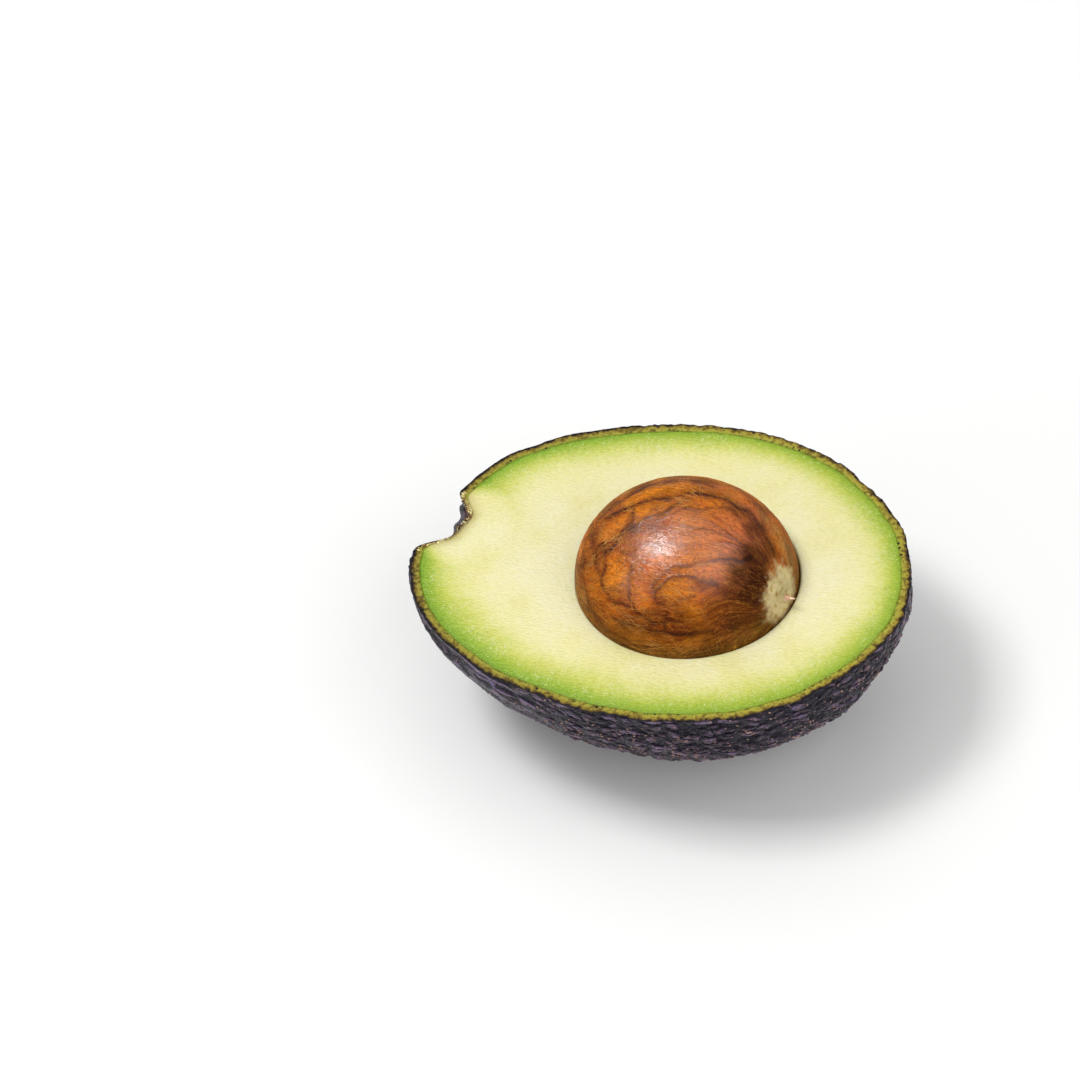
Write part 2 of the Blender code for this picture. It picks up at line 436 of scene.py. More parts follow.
def ripePeelMaterial():
    # ripe peel, grown and waxy: purple and satin on the pebbles, with painted sheen on their tops and painted
    # shade near black in the valleys
    material, add, place = startMaterial("ripePeel")
    top, scar, nearStem = (
        add("Attribute", attribute_name=name).outputs["Fac"] for name in ("pebbleTop", "dimple", "nearStem")
    )
    plates, ridges = (
        add("Attribute", attribute_name=name).outputs["Vector"] for name in ("plateCourse", "ridgeCourse")
    )
    # the valleys, where shade is painted: the plates' own edges, and fainter ones between the small domes on
    # them
    valleys = []
    for size, wide, shade in ((1.0, 0.16, 0.0), (0.45, 0.2, 0.5)):
        scale = 1 / (pebbles["pebbleSize"] * size)
        edge = add("TexVoronoi", plates, scale, feature="DISTANCE_TO_EDGE")
        valleys.append(add("MapRange", edge, 0.0, wide, shade, 1.0, interpolation_type="SMOOTHSTEP"))
    valley = add("Math", valleys[1], valleys[0], operation="MULTIPLY")
    fainter = add("Math", nearStem, 0.85, operation="MULTIPLY")
    crease = add("Mix", fainter, valley, 1.0)
    # how light each place is: the pebbles' tops and the ridges at the stem, lighter partly in the peel's own
    # colour and partly as painted sheen, their grain, and each pebble's own tone
    grain = add("TexNoise", place, perMetre(0.6), 3.0)
    uneven = add("MapRange", grain, 0.0, 1.0, -0.18, 0.18)
    spot = add("TexVoronoi", plates, 1 / pebbles["pebbleSize"])
    spotTone = add("SeparateColor", spot.outputs["Color"])
    lighter = add("MapRange", spotTone, 0.0, 1.0, -0.08, 0.16)
    fineRidge = add("TexNoise", ridges, perMetre(0.6), 2.0)
    ridgeLevel = add("MapRange", fineRidge, 0.35, 0.65, -0.4, 0.34)
    ridgeShare = add("MapRange", nearStem, 0.0, 1.0, 0.12, 1.0)
    ridgeUp = add("Math", ridgeLevel, ridgeShare, operation="MULTIPLY")
    light = top
    for part in (uneven, lighter, ridgeUp):
        light = add("Math", light, part, operation="ADD")
    # painted sheen in part: the lightest stops, on the tops, stand for their highlights
    purple = {0.2: "#040305", 0.42: "#120D12", 0.58: "#2D232C", 0.75: "#504250", 0.95: "#806E8A"}
    pebbleColour = add("ValToRGB", light, stops=purple)
    mottle = add("TexNoise", place, perMetre(4), 4.0)
    patches = add("ValToRGB", mottle, stops={0.35: "#B08478", 0.5: "#F8EEF2", 0.65: "#C8BCF8"})
    tinted = add("Mix", 0.5, pebbleColour, patches, data_type="RGBA", blend_type="MULTIPLY")
    # painted shade: the valleys darkened to near black
    valleyShaded = add("Mix", crease, "#060408", tinted, data_type="RGBA")
    # the brown scar on the floor of the dimple
    scarGrain = add("TexNoise", place, perMetre(0.8), 5.0)
    scarColour = add("ValToRGB", scarGrain, stops={0.35: "#2A1D14", 0.5: "#5B432C", 0.65: "#8E7350"})
    scarShare = add("MapRange", scar, 0.35, 0.7)
    rough = add("Math", crease, ridgeUp, operation="ADD")
    rough = add("Math", rough, grain, operation="ADD")
    return setShader(material, {
        "Base Color": add("Mix", scarShare, valleyShaded, scarColour, data_type="RGBA"),
        "Roughness": add("MapRange", grain, 0.0, 1.0, 0.15, 0.36),
        "Normal": add("Bump", {"Strength": 1.0, "Distance": 0.25 * mm, "Height": rough}),
        "IOR": 1.38,
        "Specular Tint": "#D2C8EE",
    })


def cutPeelMaterial():
    # the cut through the peel: moist and corky, black at the skin, ochre inside, dark green at the flesh
    material, add, place = startMaterial("cutPeel")
    depth, scar = (
        add("Attribute", attribute_name=name).outputs["Fac"] for name in ("depthIn", "dimple")
    )
    speckle = add("TexNoise", place, perMetre(1.1), 4.0)
    blur = add("MapRange", speckle, 0.0, 1.0, -0.85, 0.85)
    blurred = add("Math", depth, blur, operation="ADD")
    stemwards = add("MapRange", add("SeparateXYZ", place), 14 * mm, -26 * mm, 0.0, 0.18)
    uneven = add("Math", blurred, stemwards, operation="SUBTRACT")
    share = add("MapRange", uneven, 0.0, 2.0)
    band = add("ValToRGB", share, stops={
        0.0: "#0B0709", 0.1: "#241B10", 0.2: "#6C5A22", 0.36: "#A2943A",
        0.6: "#ABA843", 0.8: "#A0A43A", 0.92: "#8E9C36", 1.0: "#809632",
    })
    fleck = add("TexNoise", place, perMetre(0.8), 3.0)
    fleckTone = add("ValToRGB", fleck, stops={
        0.34: "#5A3418", 0.45: "#C8AC70", 0.55: "#FFFFFF", 0.64: "#F4E8A0", 0.72: "#A87A3C",
    })
    colour = band
    for most, tone in ((0.75, fleckTone), (stemwards, "#60602C")):
        colour = add("Mix", most, colour, tone, data_type="RGBA", blend_type="MULTIPLY")
    # dark pores in loose crowds, away from the outside
    pores = add("TexVoronoi", place, perMetre(1.15))
    crowd = add("TexNoise", place, perMetre(5), 2.0)
    fromSkin = add("MapRange", depth, 0.3, 1.4)
    crowded = add("MapRange", crowd, 0.42, 0.6, 0.0, 0.24)
    poreSize = add("Math", fromSkin, crowded, operation="MULTIPLY")
    gap = add("Math", poreSize, pores, operation="SUBTRACT")
    pore = add("MapRange", gap, -0.06, 0.06, interpolation_type="SMOOTHSTEP")
    pored = add("Mix", pore, colour, "#1D170C", data_type="RGBA")
    scarTones = {0.0: "#2A1C12", 0.12: "#6B5030", 0.25: "#A08A52", 0.4: "#D6CB8E"}
    scarred = add("ValToRGB", share, stops=scarTones)
    scarShare = add("MapRange", scar, 0.2, 0.6)
    return setShader(material, {
        "Base Color": add("Mix", scarShare, pored, scarred, data_type="RGBA"),
        "Normal": add("Bump", {"Strength": 0.8, "Distance": 0.15 * mm, "Height": fleck}),
        "Roughness": 0.55,
        "IOR": 1.3,
    })


peel = buildPeelForm()
growPiece(peel, "pebbledPeel", pebbles, growPebbles, ripePeelMaterial(), cutPeelMaterial())
settle(peel, "skin")


# Lenticels: small corky dots on the pebbles

lenticels = {
    "perSquareMetre": 1300000.0,
    "beadRadius": 0.21 * mm,
    "smallest": 0.4,
    "largest": 1.4,
    "seed": 11,
}


def scatterLenticels(add, inputs, cork):
    top, fine, depthIn, nearStem = (
        add("GeometryNodeInputNamedAttribute", name)
        for name in ("pebbleTop", "fineRelief", "depthIn", "nearStem")
    )
    onTop = add("MapRange", top, 0.35, 0.75)
    outside = add("Math", depthIn, 0.01, operation="LESS_THAN")
    fewer = add("MapRange", nearStem, 0.0, 1.0, 1.0, 0.15)
    return scatterBeads(add, inputs, (fine, outside, fewer, onTop), (1.2, 0.8, 0.5), None, cork)


def corkMaterial():
    # lenticel cork: dry, dull and tan pink
    stops = {0.35: "#5E484C", 0.5: "#8E6E68", 0.65: "#C09884"}
    material, _, colour = startMottled("lenticelCork", 2.5, 2.0, stops)
    return setShader(material, {"Base Color": colour, "Roughness": 0.7})


corkDots = addObject("lenticels", peel.data.copy())
growPiece(corkDots, "scatteredLenticels", lenticels, scatterLenticels, corkMaterial())
settle(corkDots, None)


# Flesh

pit = {
    "middle": np.array((5.0, -1.6, 33.7)),
    "radii": np.array((20.6, 18.7, 18.4)),
    "point": 0.035,
    "hollowGap": 0.03,
    "hollowSlack": 0.22,  # how much wider the hollow is on the blossom side
}
fleshLook = {
    "around": 600,
    "hollowRows": 20,
    "hollowTo": 3,  # degrees below the cut face where the lip starts
    "lipRows": 5,
    "faceRows": 84,
    "outsideRows": 24,
    "outsideSpacing": 1.7,
    "lip": 0.18,
    "lipSlack": 0.35,
    "edgeGroove": 0.02,
    "waves": 0.1,
    "waveSize": 9.0,
    "cutMarks": 0.008,
    "cutMarkSize": 0.9,
    "seamGap": 0.01,
    "notchPale": (5.5, 10.5),  # no green flesh within the first distance from the dimple
    "atPole": 14.0,  # how far in from the peel the bottom of the hollow counts
    "aroundReach": 34,
}


def pitPoint(towards, wider=0.0):
    radii = pit["radii"] * (1 + pit["point"] * towards[:, :1])
    if np.ndim(wider):
        wider = wider[:, None]
    return pit["middle"] + towards * (radii + wider)


def blossomSide(towards):
    return np.clip(towards[:, 0], 0, 1) ** 1.5


def fromOutline(points, outline):  # the shortest way, in the cut face, from each point to the outline
    best = np.full(len(points), 1e9)
    after = np.roll(outline, -1, axis=0)
    atOnce = 4000
    for start in range(0, len(points), atOnce):
        chunk = points[start : start + atOnce, None, :2]
        along = after[None, :, :2] - outline[None, :, :2]
        offset = chunk - outline[None, :, :2]
        share = np.clip((offset * along).sum(2) / (along**2).sum(2), 0, 1)
        gap = offset - share[:, :, None] * along
        best[start : start + atOnce] = np.sqrt((gap**2).sum(2)).min(1)
    return best


def buildFleshForm():
    look = fleshLook
    around = look["around"]
    level = bowlDirections(around, 0)
    cut = fruit["cutHeight"]
    edgePoints = middle + level * (innerRadius(level) - look["seamGap"])[:, None]
    notch = middle + slanted(fruit["dimpleSlant"]) * (fruit["stemReach"] - fruit["dimpleDepth"])
    rows = []

    def addRow(points, depth):
        turn = np.arctan2(points[:, 1], points[:, 0])
        marks = {
            "fromPeel": depth,
            "notch": 1 - smoothStep(*look["notchPale"], np.linalg.norm(points - notch, axis=1)),
            "aroundX": np.cos(turn) * look["aroundReach"],
            "aroundY": np.sin(turn) * look["aroundReach"],
        }
        rows.append((points, marks))

    def hollow(towards):
        return pitPoint(towards, pit["hollowGap"] + pit["hollowSlack"] * blossomSide(towards))

    lip = look["lip"] + look["lipSlack"] * blossomSide(level)
    addRow(hollow(down), np.array([look["atPole"]]))
    for i in range(1, look["hollowRows"]):
        below = 90 - (90 - look["hollowTo"]) * i / look["hollowRows"]
        points = hollow(bowlDirections(around, below))
        fromMiddle = points - middle
        distance = np.linalg.norm(fromMiddle, axis=1)
        depth = fruitRadius(fromMiddle / distance[:, None]) - fruit["peelThickness"] - distance
        addRow(points, np.maximum(depth, 0))
    wall = hollow(level)
    facePoints = []
    for i in range(look["lipRows"] + 1):
        turn = math.pi / 2 * i / look["lipRows"]
        points = wall + level * (lip * (1 - math.cos(turn)))[:, None]
        points[:, 2] = cut - lip * (1 - math.sin(turn))
        facePoints.append(points)
    lipEdge = facePoints[-1]
    for i in range(1, look["faceRows"] + 1):
        points = lipEdge + (edgePoints - lipEdge) * i / look["faceRows"]
        points[:, 2] = cut
        facePoints.append(points)
    stacked = np.vstack(facePoints)
    depth = fromOutline(stacked, edgePoints)
    wave = look["waves"] * noiseAt(stacked, look["waveSize"]) * smoothStep(0.5, 4, depth)
    drawn = stacked * np.array((0.15, 1, 1))
    knife = look["cutMarks"] * noiseAt(drawn, look["cutMarkSize"]) * smoothStep(0.5, 2, depth)
    groove = look["edgeGroove"] * (1 - smoothStep(0, 0.4, depth))
    rounded = fruit["notchDip"] * (1 - smoothStep(-0.4, 2.4, depth)) * dimpleShare(unit(stacked - middle))
    stacked[:, 2] += wave + knife - groove - rounded
    for i in range(len(facePoints)):
        part = slice(i * around, (i + 1) * around)
        addRow(stacked[part], depth[part])
    for i in range(1, look["outsideRows"]):
        towards = bowlDirections(around, 90 * (i / look["outsideRows"]) ** look["outsideSpacing"])
        addRow(middle + towards * (innerRadius(towards) - look["seamGap"])[:, None], np.zeros(around))
    addRow(middle + down * (innerRadius(down) - look["seamGap"])[:, None], np.zeros(1))
    return addShell("flesh", rows)


def fleshMaterial():
    # ripe flesh, cut with a knife: soft, moist and satin, cream yellow inside and green at the peel
    material, add, place = startMaterial("ripeFlesh")
    depth, notch, acrossX, acrossY = (
        add("Attribute", attribute_name=name).outputs["Fac"]
        for name in ("fromPeel", "notch", "aroundX", "aroundY")
    )
    shallow = add("Math", depth, 0.3, operation="MULTIPLY")
    radial = add("CombineXYZ", acrossX, acrossY, shallow)
    knifed = add("VectorMath", place, (0.45, 1.0, 1.0), operation="MULTIPLY")

    # where the green ends: broad swells, fibres that run inwards, and the grain of the cells
    cloud = add("TexNoise", place, perMetre(12), 2.0)
    fibres = add("TexNoise", radial, 0.9, 3.0)
    cells = add("TexNoise", knifed, perMetre(0.4), 3.0)
    inner = add("MapRange", depth, 0.0, 6.0)
    shifted = depth
    for pattern, reach, deeper in ((cloud, 2.4, True), (fibres, 1.3, True), (cells, 1.3, False)):
        blur = add("MapRange", pattern, 0.0, 1.0, -reach, reach)
        if deeper:
            blur = add("Math", blur, inner, operation="MULTIPLY")
        shifted = add("Math", shifted, blur, operation="ADD")
    # it is narrower at the blossom end and on the far side, and gone at the dimple
    farSide = add("Math", acrossY, 0.45, acrossX, operation="MULTIPLY_ADD")
    narrower = add("Math", farSide, 0.03, operation="MULTIPLY")
    backSide = add("MapRange", acrossY, 0.0, 34.0, 0.0, 0.6)
    offEdge = add("MapRange", depth, 0.0, 2.0)
    for part, share in ((narrower, inner), (backSide, offEdge), (notch, 8.0)):
        paler = add("Math", part, share, operation="MULTIPLY")
        shifted = add("Math", shifted, paler, operation="ADD")
    margin = add("ValToRGB", add("MapRange", shifted, 0.0, 16.0), stops={
        0.0: "#829C28", 0.02: "#8CA82D", 0.05: "#96B232", 0.09: "#A2BA38", 0.14: "#B1C149", 0.2: "#C3CC5F",
        0.26: "#D1D574", 0.32: "#DADB8A", 0.42: "#E5E2A1", 0.55: "#EBE6B1", 0.75: "#EDE8BA", 1.0: "#EFEAC2",
    })

    # streaks of the knife, a yellow blush, the cells, and a fuller green beside the peel towards the stem
    streaks = add("TexNoise", knifed, perMetre(0.7), 3.0)
    blush = add("TexNoise", place, perMetre(8), 4.0)
    colour = margin
    for share, pattern, stops in (
        (0.25, streaks, {0.3: "#F7F2CC", 0.5: "#FDFCF2", 0.65: "#FFFFFF"}),
        (0.5, blush, {0.45: "#FFFFFF", 0.58: "#FBFBE4", 0.72: "#F2F0C0"}),
        (0.34, cells, {0.36: "#EFEDC8", 0.5: "#FCFBF0", 0.58: "#FFFFFF"}),
    ):
        tone = add("ValToRGB", pattern, stops=stops)
        colour = add("Mix", share, colour, tone, data_type="RGBA", blend_type="MULTIPLY")
    stemShare = add("MapRange", acrossX, 16.0, -30.0)
    besidePeel = add("MapRange", shifted, 0.0, 2.6, 0.6, 0.0)
    fuller = add("Math", stemShare, besidePeel, operation="MULTIPLY")
    greened = add("Mix", fuller, colour, "#C2EC9C", data_type="RGBA", blend_type="MULTIPLY")
    # darker tan towards the dimple's edge: partly dried flesh, partly painted shade where the cut face rounds
    # down
    nearer = add("Math", add("MapRange", depth, 4.0, 0.0), 2.6, operation="POWER")
    dried = add("Math", nearer, notch, operation="MULTIPLY")
    driedAndShadedShare = add("Math", dried, 0.8, operation="MULTIPLY")
    return setShader(material, {
        "Base Color": add("Mix", driedAndShadedShare, greened, "#B7A45C", data_type="RGBA"),
        "Normal": add("Bump", {"Strength": 0.9, "Distance": 0.22 * mm, "Height": cells}),
        "Roughness": 0.4,
        "IOR": 1.38,
        "Subsurface Weight": 0.2,
        "Subsurface Radius": (1.0, 0.8, 0.3),
        "Subsurface Scale": 1.2 * mm,
    })


flesh = buildFleshForm()
flesh.data.materials.append(fleshMaterial())
settle(flesh, "flesh")


# Torn cells: wet beads that the knife left standing on the green flesh, paler than it partly in their own
# colour and partly as painted glint

tornCells = {
    "perSquareMetre": 17000000.0,
    "beadRadius": 0.05 * mm,
    "smallest": 0.4,
    "largest": 2.3,
    "patchSize": 5.0 * mm,
    "from": 0.3,  # mm in from the peel
    "to": 7.5,
    "seed": 4,
}


def scatterCells(add, inputs, pulp):
    depth, notch = (add("GeometryNodeInputNamedAttribute", name) for name in ("fromPeel", "notch"))
    upwards = add("SeparateXYZ", add("GeometryNodeInputNormal"))
    onFace = add("Math", upwards.outputs["Z"], 0.8, operation="GREATER_THAN")
    apart = add("Math", depth, inputs["from"], operation="GREATER_THAN")
    fading = add("MapRange", depth, inputs["to"], 1.2, interpolation_type="SMOOTHSTEP")
    perPatch = add("Math", 1.0, inputs["patchSize"], operation="DIVIDE")
    patches = add("TexNoise", add("GeometryNodeInputPosition"), perPatch, 2.0)
    patch = add("MapRange", patches, 0.42, 0.62, 0.12)
    elsewhere = add("Math", 1.0, notch, operation="SUBTRACT")
    limits = ((-0.3, -0.3, 0.0), (0.3, 0.3, 6.3), {"Seed": inputs["seed"]})
    turn = add("FunctionNodeRandomValue", *limits, data_type="FLOAT_VECTOR")
    return scatterBeads(add, inputs, (onFace, apart, fading, patch, elsewhere), (1.7, 0.9, 0.6), turn, pulp)


def tornPulpMaterial():
    # torn avocado cells: wet, glossy and pale yellow green, paler inwards; their paleness is partly painted
    # glint
    material, add, place = startMaterial("tornPulp")
    depth = add("Attribute", attribute_name="fromPeel").outputs["Fac"]
    inwards = add("MapRange", depth, 0.0, 6.0, -0.15, 0.4)
    tone = add("Math", add("TexNoise", place, perMetre(0.8), 2.0), inwards, operation="ADD")
    # paler than the flesh beside them: partly their own colour, partly painted glint
    stops = {0.25: "#94BC3A", 0.45: "#B6D05C", 0.65: "#D8E698", 0.85: "#F0F2C4"}
    colour = add("ValToRGB", tone, stops=stops)
    return setShader(material, {"Base Color": colour, "Roughness": 0.22})


wetBeads = addObject("tornCells", flesh.data.copy())
growPiece(wetBeads, "scatteredCells", tornCells, scatterCells, tornPulpMaterial())
settle(wetBeads, None)


# Crumbs: dried bits of flesh and scar tissue along the edge of the dimple

crumbs = {"crumbRadius": 0.22 * mm, "smallest": 0.4, "largest": 1.4, "roughness": 0.16 * mm, "seed": 8}
crumbPath = {"count": 260, "halfTurn": 10.5, "spread": 0.3, "below": 1.4, "middle": 0.5}


def crumbPoints():  # along the notch that the dimple makes in the cut face, in mm
    random = np.random.default_rng(crumbs["seed"])
    facing = 180 - fruit["dimpleSlant"]
    turn = np.radians(facing + random.uniform(-1, 1, crumbPath["count"]) * crumbPath["halfTurn"])
    level = np.column_stack((np.cos(turn), np.sin(turn), np.zeros(len(turn))))
    reach = fruitRadius(level) - random.normal(crumbPath["middle"], crumbPath["spread"], len(turn))
    points = middle + level * reach[:, None]
    lower = random.uniform(0, 1, len(turn)) ** 2 * crumbPath["below"]
    points[:, 2] -= lower + fruit["notchDip"] * dimpleShare(level)
    return points


def scatterCrumbs(add, inputs, dried):
    lump = add("GeometryNodeMeshIcoSphere", inputs["crumbRadius"], 2)
    seed = {"Seed": inputs["seed"]}
    turn, size = (
        add("FunctionNodeRandomValue", low, high, seed, data_type="FLOAT_VECTOR")
        for low, high in (((0.0, 0.0, 0.0), (6.3, 6.3, 6.3)), (inputs["smallest"], inputs["largest"]))
    )
    rough = add("TexNoise", add("GeometryNodeInputPosition"), perMetre(0.5), 2.0)
    centred = add("VectorMath", rough.outputs["Color"], (0.5, 0.5, 0.5), operation="SUBTRACT")
    push = add("Math", inputs["roughness"], 4.0, operation="MULTIPLY")
    offset = add("VectorMath", centred, push, operation="SCALE")
    return instanced(add, inputs["Geometry"], lump, turn, size, dried, offset)


def driedFleshMaterial():
    # dried crumbs: dull, from cream flesh to brown cork
    stops = {0.35: "#5A3B22", 0.45: "#A87F3E", 0.52: "#E2D488", 0.65: "#F4EFC0"}
    material, _, colour = startMottled("driedFlesh", 0.8, 1.0, stops)
    return setShader(material, {"Base Color": colour, "Roughness": 0.6})


driedBits = addMesh("crumbs", crumbPoints(), [])
growPiece(driedBits, "scatteredCrumbs", crumbs, scatterCrumbs, driedFleshMaterial())
settle(driedBits, None)


# Pit

seedCoat = {
    "veinHeight": 0.09 * mm,
    "cellRise": 0.14 * mm,
    "fibreSize": 0.7 * mm,
    "fibreHeight": 0.05 * mm,
    "scarDepth": 0.18 * mm,
}
pitLook = {
    "cuts": 119,
    "wiggleSize": 3.0,
    "wiggle": 0.9,
    "swirlSize": 9.0,
    "swirl": 3.2,
    "netSize": 6.5,
    "netStrength": 0.5,
    "scarTowards": (19.1, -4.4, 4.4),  # the pale scar, from the pit's middle
    "scarLongWay": (0.065, 0.785, 0.62),
    "scarLong": 5.5,
    "scarWide": 4.6,
    "oliveTo": 7.2,  # mm above the cut face
}
# The main veins: width in mm, strength, and the directions from the pit's middle that they pass
veins = (
    (0.55, 0.9, ((174, 41), (165, 48), (151, 54), (137, 56), (120, 57), (102, 57), (70, 54))),
    (0.7, 1.0, ((176, 48), (171, 57), (164, 62), (159, 71), (140, 74), (115, 78), (88, 75), (69, 72),
                (52, 66), (36, 59), (26, 51))),
    (0.75, 0.95, ((-147, 46), (-146, 55), (-151, 62), (-156, 68), (-159, 73), (-159, 80), (-173, 86),
                  (84, 84), (65, 77))),
    (0.5, 0.85, ((168, 68), (-174, 69), (-158, 66), (-152, 60), (-154, 52), (-157, 43))),
    (0.5, 0.6, ((-146, 66), (-152, 72), (-145, 80), (28, 88), (20, 78), (28, 68), (26, 58), (21, 49),
                (13, 39))),
    (0.6, 0.75, ((-94, 45), (-92, 51), (-86, 56), (-74, 58), (-55, 58), (-42, 54), (-28, 50), (-18, 41))),
    (0.6, 0.85, ((-91, 38), (-91, 44), (-85, 50), (-75, 52), (-65, 51), (-57, 46), (-49, 41))),
    (0.75, 0.9, ((-142, 44), (-136, 37), (-127, 32), (-118, 30), (-110, 31))),
    (0.6, 0.75, ((-120, 55), (-113, 46), (-112, 38), (-108, 32), (-101, 28), (-91, 25))),
    (0.8, 0.7, ((-175, 40), (-159, 41), (-148, 38), (-139, 39))),
    (0.7, 0.8, ((-121, 20), (-108, 20), (-98, 20), (-86, 20), (-73, 19), (-60, 17))),
    (0.5, 0.7, ((-85, 34), (-86, 26), (-86, 20))),
    (0.5, 0.6, ((-91, 36), (-81, 37), (-72, 40), (-63, 42), (-55, 42))),
    (0.7, 0.6, ((26, 51), (15, 44), (5, 37), (-1, 32))),
    (0.6, 0.6, ((-166, 28), (-153, 22), (-138, 17), (-125, 11), (-111, 7), (-98, 5))),
)
# Spots of tone on the coat: (azimuth, elevation, radius in mm, strength)
tints = {
    "warm": (
        (150, 62, 2.4, 0.9), (133, 66, 2.8, 1.0), (115, 68, 3.0, 1.0), (95, 66, 2.6, 0.8),
        (-178, 72, 2.4, 1.0), (172, 79, 2.6, 1.0), (150, 84, 2.2, 0.7), (-173, 62, 2.0, 0.8),
        (-165, 50, 2.2, 0.7), (-125, 44, 4.2, 0.9), (-77, 46, 3.8, 0.8), (-8, 79, 4.0, 0.6),
        (-71, 31, 2.8, 0.6), (-105, 17, 3.4, 0.6), (-60, 50, 2.6, 0.4), (60, 68, 4.0, 0.5),
        (-69, 61, 4.0, 0.75), (-38, 66, 4.6, 0.6),
    ),
    "dark": (
        (-16, 40, 4.6, 0.95), (-31, 40, 4.0, 0.9), (-32, 28, 5.4, 1.0), (-42, 32, 4.6, 0.85),
        (-53, 26, 4.6, 0.75), (-44, 21, 5.0, 0.85), (-37, 15, 4.0, 0.8), (-22, 34, 4.0, 1.0),
        (0, 37, 3.6, 0.8), (9, 45, 3.6, 0.7), (24, 54, 3.2, 0.55), (50, 60, 2.6, 0.5),
        (-162, 32, 3.2, 0.4), (-169, 43, 3.0, 0.45), (-146, 28, 3.0, 0.3), (-150, 44, 2.6, 0.5),
        (100, 49, 3.2, 0.65), (130, 49, 3.4, 0.65), (75, 53, 3.6, 0.6), (160, 44, 3.0, 0.5),
        (-75, 24, 4.4, 0.65), (-91, 24, 4.4, 0.6), (-107, 21, 3.6, 0.5), (-62, 21, 5.0, 0.6),
        (-135, 18, 3.2, 0.4),
    ),
    # painted sheen: a pinkish tint beside the highlight and towards the right, where the coat shows a sheen
    "paintedSheen": ((-3, 55, 5.5, 0.9), (-20, 62, 4.5, 0.6), (22, 52, 4.5, 0.6), (-98, 67, 5.0, 0.4)),
    "tan": (
        (12, 24, 2.4, 0.8), (6, 19, 2.6, 0.9), (18, 31, 2.2, 0.7), (25, 38, 1.8, 0.5),
        (-171, 16, 3.0, 0.6), (-160, 12, 3.0, 0.6), (-146, 14, 2.6, 0.5), (172, 24, 2.4, 0.4),
    ),
}


def fromAngles(azimuth, elevation):
    turn, up = math.radians(azimuth), math.radians(elevation)
    return np.array((math.cos(up) * math.cos(turn), math.cos(up) * math.sin(turn), math.sin(up)))


def veinCourse(angles):  # a smooth row of directions through the given ones
    knots = np.array([fromAngles(*pair) for pair in angles])
    steps = 14
    places = np.linspace(0, len(knots) - 1, (len(knots) - 1) * steps + 1)
    course = np.column_stack([np.interp(places, np.arange(len(knots)), knots[:, i]) for i in range(3)])
    padded = np.vstack((np.repeat(course[:1], steps, 0), course, np.repeat(course[-1:], steps, 0)))
    kernel = np.ones(steps) / steps
    course = np.column_stack([np.convolve(padded[:, i], kernel, "same") for i in range(3)])[steps:-steps]
    return unit(course)


def noiseVectors(points, size, shift):
    return np.column_stack([noiseAt(points, size, (shift, 3 * i, 0)) for i in range(3)])


def scarShare(points):
    offset = points - pit["middle"] - np.array(pitLook["scarTowards"])
    longWay = np.array(pitLook["scarLongWay"])
    alongScar = offset @ longWay
    acrossScar = np.linalg.norm(offset - alongScar[:, None] * longWay, axis=1)
    ragged = 1 + 0.22 * noiseAt(points, 2.4) + 0.18 * noiseAt(points, 0.9) + 0.12 * noiseAt(points, 0.45)
    reach = np.hypot(alongScar / pitLook["scarLong"], acrossScar / pitLook["scarWide"]) * ragged
    return 1 - smoothStep(0.62, 1.2, reach)


def scarAxis():  # the coat's fibres run from the scar round to the other side, so their axis goes through it
    return np.array(pitLook["scarTowards"]) / np.linalg.norm(pitLook["scarTowards"])


def coatMarks(towards):
    look = pitLook
    points = pitPoint(towards)
    reach = pit["radii"][1]
    wiggled = unit(towards + noiseVectors(points, look["wiggleSize"], 1) * look["wiggle"] / reach)
    wiggled = unit(wiggled + noiseVectors(points, 1.0, 5) * 0.25 / reach)
    vein = np.zeros(len(points))
    fading = 0.7 + 0.5 * noiseAt(points, 3.5, (2, 8, 4))
    thickness = 1 + 0.5 * noiseAt(points, 4.5, (9, 1, 3))
    for width, strength, angles in veins:
        nearest = (wiggled @ veinCourse(angles).T).max(1)
        away = np.arccos(np.clip(nearest, -1, 1)) * reach / thickness
        core = 0.8 * (1 - smoothStep(0.1 * width, 1.1 * width, away))
        halo = 0.45 * (1 - smoothStep(0, 3.2 * width, away))
        vein = np.maximum(vein, (core * fading + halo) * strength)

    axis = scarAxis()
    swirled = points - pit["middle"] + noiseVectors(points, look["swirlSize"], 11) * look["swirl"]
    along = swirled @ axis
    around = unit(swirled - along[:, None] * axis)
    flow = around * reach + axis * along[:, None] * 0.14
    net = around * reach + axis * along[:, None] * 0.5
    corners = [noise.voronoi(place)[0] for place in (net / look["netSize"]).tolist()]
    gap = np.array([pair[1] - pair[0] for pair in corners])
    netVein = (1 - smoothStep(0.02, 0.16, gap)) * look["netStrength"] * (0.6 + noiseAt(points, 7, (4, 4, 4)))
    marks = {
        "vein": np.clip(np.maximum(vein, netVein), 0, 1),
        "scar": scarShare(points),
        "flowX": flow[:, 0],
        "flowY": flow[:, 1],
        "flowZ": flow[:, 2],
    }
    for name, spots in tints.items():
        marks[name] = np.zeros(len(points))
        for azimuth, elevation, radius, strength in spots:
            away = np.arccos(np.clip(wiggled @ fromAngles(azimuth, elevation), -1, 1)) * reach
            spot = strength * (1 - smoothStep(0.3 * radius, 1.25 * radius, away))
            marks[name] = np.maximum(marks[name], spot)
    height = points[:, 2] - fruit["cutHeight"] + 0.8 * noiseAt(points, 3.0, (5, 5, 5))
    marks["olive"] = 1 - smoothStep(0.3, look["oliveTo"], height)
    return marks


def buildPitForm():
    mesh = bmesh.new()
    bmesh.ops.create_cube(mesh, size=2)
    bmesh.ops.subdivide_edges(mesh, edges=mesh.edges, cuts=pitLook["cuts"], use_grid_fill=True)
    corners = np.array([corner.co[:] for corner in mesh.verts])
    faces = [[corner.index for corner in face.verts] for face in mesh.faces]
    mesh.free()
    towards = unit(np.tan(corners * math.pi / 4))
    return addMesh("pit", pitPoint(towards), faces, coatMarks(towards))


